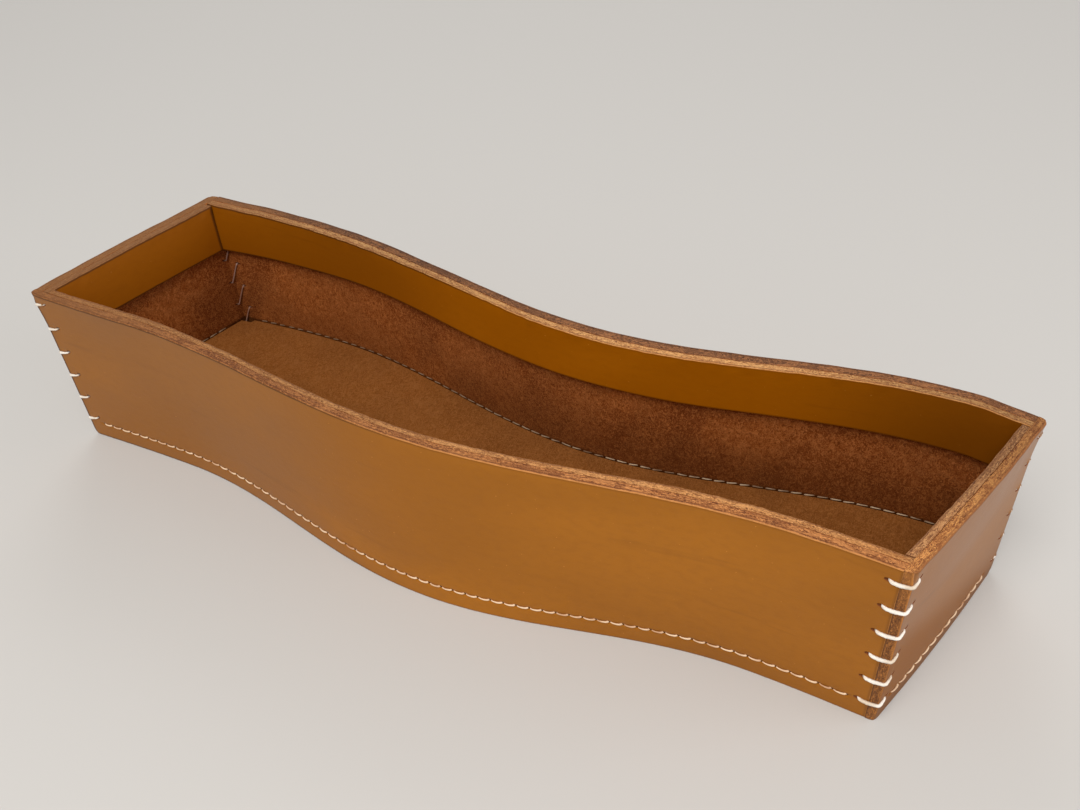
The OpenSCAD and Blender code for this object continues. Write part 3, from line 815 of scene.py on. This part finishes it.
def wall_shape(k, s, depth, z, away):
    """The creased groove and the dimples that the seam pulls into the foot, a rim cut by hand, and
    the upright arrises that lap over, rounder at the top and the foot."""
    at_start = s < SEAM_WAYS[k][-1] / 2
    slide = 0.0
    if laps(k, at_start):
        share = max(ease((z - TOP_FROM) / TOP_OVER), 0.5 * ease((FOOT_UP_TO - z) / FOOT_UP_TO))
        new_away, depth = round_off(away, max(depth, 0.0), WORN_ROUND, share) if share else (away, depth)
        slide = (new_away - away) * (1 if at_start else -1)
    if depth < 0.5 and SEAM_MARGIN - GROOVE_MARGIN < s < seam_end(k) + GROOVE_MARGIN:
        pull = 0.5 + 0.5 * math.cos(2 * math.pi * (s - SEAM_MARGIN - SEAM_PITCH / 2) / SEAM_PITCH)
        depth += (GROOVE_DEPTH + DIMPLE_DEPTH * pull) * math.exp(-((z - SEAM_HEIGHT) / GROOVE_WIDTH) ** 2)
    if z > TRAY_HEIGHT - CUT_REACH:
        z += waver(s, 0.16, 0.11, (7.3 * k, 1)) * min(1, (z - TRAY_HEIGHT + CUT_REACH) / 2) - 0.08
    depth, strayed_slide = strayed(k, s, depth, z)
    return depth, z, slide + strayed_slide


for k, wall in enumerate(WALLS):
    row = stations(k, (0.0, WALL_THICKNESS), WALL_STEP)
    ring = section((0.0, WALL_THICKNESS), (0.0, TRAY_HEIGHT), WALL_ROWS, (EDGE_ROUND, GLUED_ROUND),
                   "grain", "flesh")
    panel = make_strip(wall + "_wall_panel", row, ring, WALL_ROWS, partial(wall_shape, k), wall_finish(k),
                       press_of_thread((k, (k + 1) % 4)))
    punch_holes(panel, k)
    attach(panel, "root")
    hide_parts(wall + "_wall")


# Facing bands: four strips of 3 mm leather, grain side in, glued round the inside of the rim and flush
# with it. Each starts against the band before it and ends on the inside of the next wall. The raw lower
# edge stands off the wall, and the rim shows both layers with the glue line between them.
# The facing grain gets painted shade and grey sheen towards the left end, and painted shadow of the right
# wall towards the far right corner.
facing_grain = grain_side("facing_grain", colours=((162, 91, 0), (176, 101, 0), (146, 80, 0), (208, 140, 66)),
                          burnish_and_shade=(96, 50, 2), rough=0.45, line=(198, 132, 62), sheen_and_shade=(92, 48, 4),
                          far_right_shade=0.65)
# Dark, pale, fibre and pit colours of each facing's cut edge, and the colour of the line along its arris, a
# painted highlight where it is light.
FACING_EDGES = (
    (((156, 98, 50), (196, 132, 72), (232, 168, 106), (112, 62, 30)), (222, 160, 102)),
    (((146, 94, 56), (180, 122, 76), (222, 164, 108), (104, 60, 32)), (160, 112, 76)),
    (((178, 116, 64), (208, 146, 88), (240, 184, 118), (124, 70, 36)), (214, 148, 82)),
    (((142, 92, 50), (168, 114, 68), (196, 142, 90), (112, 68, 36)), (176, 122, 76)))
FACING_FOOT = TRAY_HEIGHT - FACING_DEPTH
FACING_BACK, FACING_FRONT = WALL_THICKNESS + GLUE, WALL_THICKNESS + GLUE + FACING_THICKNESS
FACING_ROWS = [57.6, 58.2, 60, 63, 66, 69, 72, 74, 76, 77.2, 78.2]


def facing_shape(k, s, depth, z, away):
    """Both long edges are cut by hand, so they waver by a few tenths, and the inner arris is uneven."""
    if z > TRAY_HEIGHT - CUT_REACH:
        z += waver(s, 0.2, 0.13, (3.1 * k, 5)) * min(1, (z - TRAY_HEIGHT + CUT_REACH) / 2) - 0.12
    if z < FACING_FOOT + CUT_REACH:
        z += waver(s, 0.5, 0.03, (2.7 * k, 9)) * min(1, (FACING_FOOT + CUT_REACH - z) / 2)
    new_depth, slide = strayed(k, s, depth, z)
    if z > TRAY_HEIGHT - 2 and depth > FACING_FRONT - 1:
        new_depth += waver(s, 0.28, 0.3, (4.4 * k, 3))
    return new_depth, z, slide


for k, wall in enumerate(WALLS):
    row = stations(k, (FACING_FRONT + GLUE, FACING_BACK), FACING_STEP)
    ring = section((FACING_BACK, FACING_FRONT), (FACING_FOOT, TRAY_HEIGHT), FACING_ROWS,
                   (GLUED_ROUND, EDGE_ROUND), "flesh", "grain")
    colours, line = FACING_EDGES[k]
    edge = raw_edge(wall + "_facing_cut_edge", colours, 0.5, line, FACING_FRONT, CORNER_SHADE)
    finishes = {"grain": facing_grain, "flesh": wall_flesh, "edge": edge, "end": edge}
    band = make_strip(wall + "_facing_band", row, ring, FACING_ROWS, partial(facing_shape, k), finishes)
    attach(band, "root")
    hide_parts(wall + "_facing")


# Floor panel: one piece of 4 mm leather, flesh side up, cut to the wave of the walls and set in between
# them 11 mm above the table, where the seams through its edge hold it. Each corner is notched for the
# lacing. It is smoother and lighter than the inside of the walls.
FLOOR_THICKNESS, FLOOR_TOP, FLOOR_GAP, NOTCH_ROOM = 4.0, 15.0, 0.25, 0.85
FLOOR_DEPTH = WALL_THICKNESS + FLOOR_GAP
floor_outline = []
for k in range(4):
    onward, back = (step.to_3d() for step in corner_ways(k, FLOOR_TOP - FLOOR_THICKNESS / 2))
    inner = corner_point(k, FLOOR_TOP, FLOOR_DEPTH, FLOOR_DEPTH)
    lap, butt = LAP_INSETS[k] + NOTCH_ROOM, BUTT_INSET + NOTCH_ROOM
    ahead, behind = (lap, butt) if laps(k, True) else (butt, lap)
    floor_outline += [inner + back * behind, inner + onward * ahead + back * behind, inner + onward * ahead]
    edge, count = clear_share(k), max(2, round(wall_length(k) / FLOOR_STEP))
    floor_outline += [on_wall(k, edge + (1 - 2 * edge) * i / count).point(FLOOR_DEPTH, FLOOR_TOP)
                      for i in range(count + 1)]
floor_finish = flesh_side("floor_flesh_side", ((122, 71, 28), (137, 82, 34), (96, 54, 20), (170, 112, 62)),
                          0.9, 0.4)
floor_points = [(p + SHIFT) * MM for p in floor_outline]
floor_mesh = new_mesh("floor_leather", floor_points, [], [range(len(floor_points))], [floor_finish])
floor_piece = new_object("floor_leather", floor_mesh)
thick = floor_piece.modifiers.new("thickness", "SOLIDIFY")
thick.thickness, thick.offset = FLOOR_THICKNESS * MM, -1
soft_edge = floor_piece.modifiers.new("edge", "BEVEL")
soft_edge.width, soft_edge.segments = 0.4 * MM, 2
soft_edge.limit_method, soft_edge.angle_limit = "ANGLE", math.radians(50)
bake(floor_piece)
floor_uv = floor_piece.data.uv_layers.new(name="cut")
for loop in floor_piece.data.loops:
    floor_uv.data[loop.index].uv = floor_piece.data.vertices[loop.vertex_index].co.xy
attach(floor_piece, "root")
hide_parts("floor_panel")


# Bottom seams: waxed linen thread, sewn by hand through wall and floor edge at 5 mm to the stitch.
# Outside, each stitch leans a little and is pulled into the leather at both ends. Inside, the thread is
# darker and lies in the corner between wall and floor.
def waxed_thread(name, colour, shade, hole_shade=None, dulled=0.0):
    """Fine plies with dirt between them, duller towards the left end by a share, and given painted
    shade where the thread is thin: where it goes into its holes and on its runs inside the walls."""
    f = Finish(name, 0.6)
    ply = f.noise(f.place, (1, 1, 1), 1400, 3, 0.7)
    darker_share = f.noise(f.place, (1, 1, 1), 120, 2, 0.5)
    f.dye(f.between(darker_share, 0.4, 0.7), colour, shade)
    f.lay(f.between(ply, 0.5, 0.75, 0.0, 0.35), shade)
    f.lay(toward_left(f, dulled, (-0.04, 0.06)), shade)
    # Painted shade where the thread is thin, at its holes and on its runs inside the walls.
    if hole_shade:
        f.lay(f.between(f.attribute("fullness"), 0.52, 0.62, 0.85, 0.0), hole_shade)
    return f.set(Base_Color=f.colour, Normal=f.bump(ply, 0.0002, 0.6), IOR=1.45)


SOCKET_KINDS = {float: "NodeSocketFloat", int: "NodeSocketInt", type(None): "NodeSocketMaterial"}


class Tree(Nodes):
    """A node tree for geometry. inputs gives each named input its default, or None for a material."""

    def __init__(self, name, inputs):
        self.tree = bpy.data.node_groups.new(name, "GeometryNodeTree")
        self.tree.interface.new_socket("Geometry", in_out="INPUT", socket_type="NodeSocketGeometry")
        self.sockets = {}
        for label, default in inputs.items():
            kind = SOCKET_KINDS[type(default)]
            item = self.tree.interface.new_socket(label, in_out="INPUT", socket_type=kind)
            if default is not None:
                item.default_value = default
            self.sockets[label] = item.identifier
        self.tree.interface.new_socket("Geometry", in_out="OUTPUT", socket_type="NodeSocketGeometry")
        self.source = self.tree.nodes.new("NodeGroupInput").outputs

    def vector(self, x=0.0, y=0.0, z=0.0):
        return self.add("ShaderNodeCombineXYZ", {"X": x, "Y": y, "Z": z})[0]

    def turned(self, rotation, euler):
        by = self.add("FunctionNodeEulerToRotation", {"Euler": euler})[0]
        inputs = {"Rotation": rotation, "Rotate By": by}
        return self.add("FunctionNodeRotateRotation", inputs, rotation_space="LOCAL")[0]

    def circle(self, resolution):
        inputs = {"Resolution": resolution, "Radius": self.times(self.source["Thread thickness"], 0.5)}
        return self.add("GeometryNodeCurvePrimitiveCircle", inputs)[0]

    def tube(self, path, profile, scale):
        inputs = {"Curve": path, "Profile Curve": profile, "Scale": scale, "Fill Caps": True}
        tube = self.add("GeometryNodeCurveToMesh", inputs)[0]
        return self.add("GeometryNodeSetShadeSmooth", {"Geometry": tube})[0]

    def finish(self, geometry):
        real = self.add("GeometryNodeRealizeInstances", {"Geometry": geometry})[0]
        inputs = {"Geometry": real, "Material": self.source["Finish"]}
        self.add("NodeGroupOutput", {"Geometry": self.add("GeometryNodeSetMaterial", inputs)[0]})

    def bake(self, name, mesh, values):
        """Runs the tree on a source mesh and keeps the result as a plain mesh."""
        source = new_object(name + "_path", mesh)
        modifier = source.modifiers.new("make", "NODES")
        modifier.node_group = self.tree
        for label, value in values.items():
            modifier[self.sockets[label]] = value
        made = source.evaluated_get(bpy.context.evaluated_depsgraph_get())
        mesh = bpy.data.meshes.new_from_object(made)
        mesh.name = name
        bpy.data.objects.remove(source)
        return new_object(name, mesh)


sew = Tree("hand_stitches", {
    "Pitch": 0.005,
    "Stitch length": 0.0041,
    "Thread thickness": 0.00085,
    "Lift": 0.00025,
    "Dive": -0.0003,
    "Sag": 0.00012,
    "Roll": 0.0,
    "Lean": 0.03,
    "Unevenness": 0.04,
    "Seed": 3,
    "Finish": None,
})
path = sew.add("GeometryNodeMeshToCurve", {"Mesh": sew.source["Geometry"]})[0]
path = sew.add("GeometryNodeSetCurveNormal", {"Curve": path}, mode="Z_UP")[0]
path_length = sew.add("GeometryNodeCurveLength", {"Curve": path})[0]
gaps = sew.maths("ROUND", sew.maths("DIVIDE", path_length, sew.source["Pitch"]))
spots = sew.add("GeometryNodeCurveToPoints", {"Curve": path, "Count": sew.plus(gaps, 1.0)}, mode="COUNT")
# A stitch runs along Z with X away from the leather, thin where it comes out and full where it goes in.
half = sew.times(sew.source["Stitch length"], 0.5)
dive, lift, sag, spread, seed = (sew.source[n] for n in ("Dive", "Lift", "Sag", "Unevenness", "Seed"))
stitch = sew.add("GeometryNodeCurvePrimitiveBezierSegment", {
    "Resolution": 7,
    "Start": sew.vector(x=dive, z=sew.times(half, -1.0)),
    "Start Handle": sew.vector(lift, sag, sew.times(half, -0.7)),
    "End Handle": sew.vector(sew.times(lift, 1.3), sag, sew.times(half, 0.85)),
    "End": sew.vector(dive, sew.times(sag, -1.0), half)})[0]
swell = sew.add("ShaderNodeMapRange", {
    "Value": sew.add("GeometryNodeSplineParameter")["Factor"],
    "From Min": 0.0, "From Max": 0.6, "To Min": 0.45, "To Max": 1.0})[0]
tube = sew.tube(stitch, sew.circle(8), swell)
wobble = sew.add("FunctionNodeRandomValue", {2: sew.times(spread, -1.0), 3: spread, "Seed": seed},
                 data_type="FLOAT")[1]
turn = sew.turned(spots["Rotation"], sew.vector(z=sew.source["Roll"]))
turn = sew.turned(turn, sew.vector(x=sew.plus(sew.source["Lean"], wobble)))
size = sew.add("FunctionNodeRandomValue", {0: (0.96, 0.96, 0.94), 1: (1.06, 1.04, 1.04), "Seed": seed},
               data_type="FLOAT_VECTOR")[0]
sew.finish(sew.add("GeometryNodeInstanceOnPoints", {
    "Points": spots["Points"], "Instance": tube, "Rotation": turn, "Scale": size})[0])


def polyline(points, fullness=()):
    links = [(i, i + 1) for i in range(len(points) - 1)]
    mesh = new_mesh("path", [(p + SHIFT) * MM for p in points], links, [])
    if fullness:
        mesh.attributes.new("fullness", "FLOAT", "POINT").data.foreach_set("value", fullness)
    return mesh


def seam_station(k, s):
    ways = SEAM_WAYS[k]
    i = max(i for i in range(WAY_STEPS) if ways[i] <= s)
    return on_wall(k, (i + (s - ways[i]) / (ways[i + 1] - ways[i])) / WAY_STEPS)


INSIDE_STEPS, INSIDE_MARGIN, INSIDE_HEIGHT = 200, 2 * WALL_THICKNESS + 3.7, FLOOR_TOP + 0.45
# Along the far wall the inside stitches are drawn deeper into the leather past its middle.
DRAWN_FROM, DRAWN_OVER, DRAWN_DEPTH = 210, 60, 0.28


def inside_depth(k, s):
    drawn = DRAWN_DEPTH * ease((s - DRAWN_FROM) / DRAWN_OVER) if k == FAR else 0
    return WALL_THICKNESS + 0.15 - drawn


seam_finish = waxed_thread("waxed_seam_thread", (242, 212, 178), (200, 154, 116))
inside_finish = waxed_thread("waxed_seam_thread_inside", (186, 160, 130), (118, 84, 56), dulled=0.65)
for k, wall in enumerate(WALLS):
    count = seam_count(k)
    length = (count - 1) * SEAM_PITCH
    track = [seam_station(k, SEAM_MARGIN + length * i / (4 * count)) for i in range(4 * count + 1)]
    line = polyline([c.point(-0.02, SEAM_HEIGHT) for c in track])
    outside = sew.bake(wall + "_seam", line, {"Seed": 3 + k, "Finish": seam_finish})
    holes = [SEAM_MARGIN + i * SEAM_PITCH for i in range(count)]
    first = next(i for i in range(count) if holes[i] > INSIDE_MARGIN)
    last = max(i for i in range(count) if holes[i] < SEAM_WAYS[k][-1] - INSIDE_MARGIN)
    track = [seam_station(k, SEAM_MARGIN + (first + (last - first) * i / INSIDE_STEPS) * SEAM_PITCH)
             for i in range(INSIDE_STEPS + 1)]
    line = polyline([c.point(inside_depth(k, c.s), INSIDE_HEIGHT) for c in track])
    inside = sew.bake(wall + "_seam_inside", line, {
        "Seed": 13 + k, "Finish": inside_finish, "Roll": math.radians(-150), "Sag": 0.00005,
        "Lift": 0.0003, "Unevenness": 0.09, "Stitch length": 0.0038, "Thread thickness": 0.0007})
    for row_of_stitches in (outside, inside):
        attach(row_of_stitches, "root")
    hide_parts(wall + "_seam")


# Corner lacing: one length of thicker waxed linen thread at each corner. It comes out through the lapping
# wall, lies over the corner and goes in through the covered wall a little lower, six times, and runs
# slanting down inside from one stitch to the next.
# The lacing thread's third colour is painted shade where it is thin, at its holes and inside the walls.
lace_finish = waxed_thread("waxed_lacing_thread", (252, 246, 237), (222, 202, 176), (138, 84, 60))
lace = Tree("laid_thread", {
    "Thread thickness": LACE_THREAD * MM,
    "Bend radius": 0.0012,
    "Twists per metre": 260.0,
    "Strand depth": 0.1,
    "Finish": None,
})
path = lace.add("GeometryNodeMeshToCurve", {"Mesh": lace.source["Geometry"]})[0]
path = lace.add("GeometryNodeFilletCurve", {
    "Curve": path, "Count": 4, "Radius": lace.source["Bend radius"], "Limit Radius": True}, mode="POLY")[0]
path = lace.add("GeometryNodeResampleCurve", {"Curve": path, "Length": 0.0003}, mode="LENGTH")[0]
twists = lace.times(lace.add("GeometryNodeSplineParameter")["Length"], lace.source["Twists per metre"])
path = lace.add("GeometryNodeSetCurveTilt", {"Curve": path, "Tilt": lace.times(twists, 2 * math.pi)})[0]
# Three plies: the radius of the profile falls and rises three times on its way round.
around = lace.times(lace.add("GeometryNodeSplineParameter")["Factor"], 6 * math.pi)
dent = lace.maths("ABSOLUTE", lace.maths("COSINE", lace.times(around, 0.5)))
lobe = lace.minus(1.0, lace.times(lace.source["Strand depth"], dent))
spot = lace.add("GeometryNodeInputPosition")[0]
lobed = lace.add("ShaderNodeVectorMath", {0: spot, "Scale": lobe}, operation="SCALE")[0]
strands = lace.add("GeometryNodeSetPosition", {"Geometry": lace.circle(15), "Position": lobed})[0]
fullness = lace.add("GeometryNodeInputNamedAttribute", {"Name": "fullness"}, data_type="FLOAT")[0]
lace.finish(lace.tube(path, strands, fullness))

for k, corner in enumerate(("near_left", "near_right", "far_right", "far_left")):
    route = [spot for i in range(LACE_COUNT) for spot in lace_run(k, i)]
    path = polyline([p for p, full in route], [full for p, full in route])
    piece = lace.bake(corner + "_lacing_thread", path, {"Finish": lace_finish})
    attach(piece, "root")
    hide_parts(corner + "_lacing")


# Studio: a wide pale sheet under the tray and a big soft key light in front of it and above. A lower
# light on the right lays a sheen on the end wall, and two weak ones soften the shadows from behind and
# in front. The camera stands where the photograph's did.
def soft_light(name, place, target, size, power, colour):
    light = bpy.data.lights.new(name, "AREA")
    light.shape, light.size, light.size_y = "RECTANGLE", size[0], size[1]
    light.energy, light.color = power, colour
    lamp = new_object(name, light)
    turn = (Vector(target) - Vector(place)).to_track_quat("-Z", "Y").to_matrix().to_4x4()
    lamp.matrix_world = Matrix.Translation(place) @ turn
    return lamp


paper = Finish("paper", 0.9).set(Base_Color=srgb(202, 200, 197))
sheet_corners = [(-6, -6, 0), (6, -6, 0), (6, 6, 0), (-6, 6, 0)]
sheet = new_object("sheet", new_mesh("sheet", sheet_corners, [], [range(4)], [paper]))

soft_light("key", (0.12, -0.72, 1.35), (0, 0, 0.03), (0.8, 0.8), 16.3, (1.0, 0.98, 0.95))
soft_light("end_sheen", (1.3, 0.35, 0.55), (0.17, 0, 0.04), (0.8, 0.8), 4, (1.0, 0.96, 0.97))
soft_light("back_fill", (-0.7, 1.3, 1.0), (0, 0, 0.03), (1.0, 0.8), 5, (1.0, 0.98, 0.96))
soft_light("front_fill", (0.7, -1.4, 0.6), (0, 0, 0.04), (1.0, 0.6), 1.2, (1.0, 0.97, 0.94))

world = bpy.data.worlds.new("studio")
world.use_nodes = True
world.node_tree.nodes["Background"].inputs["Color"].default_value = srgb(240, 238, 235)
world.node_tree.nodes["Background"].inputs["Strength"].default_value = 0.5
bpy.context.scene.world = world

# The camera's angles and its place in mm from the tray's middle come from a fit to the photograph.
YAW, PITCH, ROLL = math.radians(-29.314), math.radians(42.830), math.radians(-4.134)
FOCAL_PIXELS, WIDTH_PIXELS, SENSOR_WIDTH = 1101.4, 1080, 36
DISTANCE, ASIDE, ABOVE = 460.835, 25.323, 34.022
forward = Vector((math.sin(YAW) * math.cos(PITCH), math.cos(YAW) * math.cos(PITCH), -math.sin(PITCH)))
right = Vector((math.cos(YAW), -math.sin(YAW), 0))
up = right.cross(forward)
right, up = right * math.cos(ROLL) + up * math.sin(ROLL), up * math.cos(ROLL) - right * math.sin(ROLL)
camera_place = (-forward * DISTANCE + right * ASIDE + up * ABOVE + SHIFT) * MM
camera = bpy.data.cameras.new("camera")
camera.lens, camera.sensor_width = FOCAL_PIXELS / WIDTH_PIXELS * SENSOR_WIDTH, SENSOR_WIDTH
camera.sensor_fit = "HORIZONTAL"
camera.clip_start = 0.01
viewer = new_object("camera", camera)
viewer.matrix_world = Matrix.Translation(camera_place) @ Matrix((right, up, -forward)).transposed().to_4x4()
bpy.context.scene.camera = viewer
bpy.context.scene.view_settings.view_transform = "Standard"
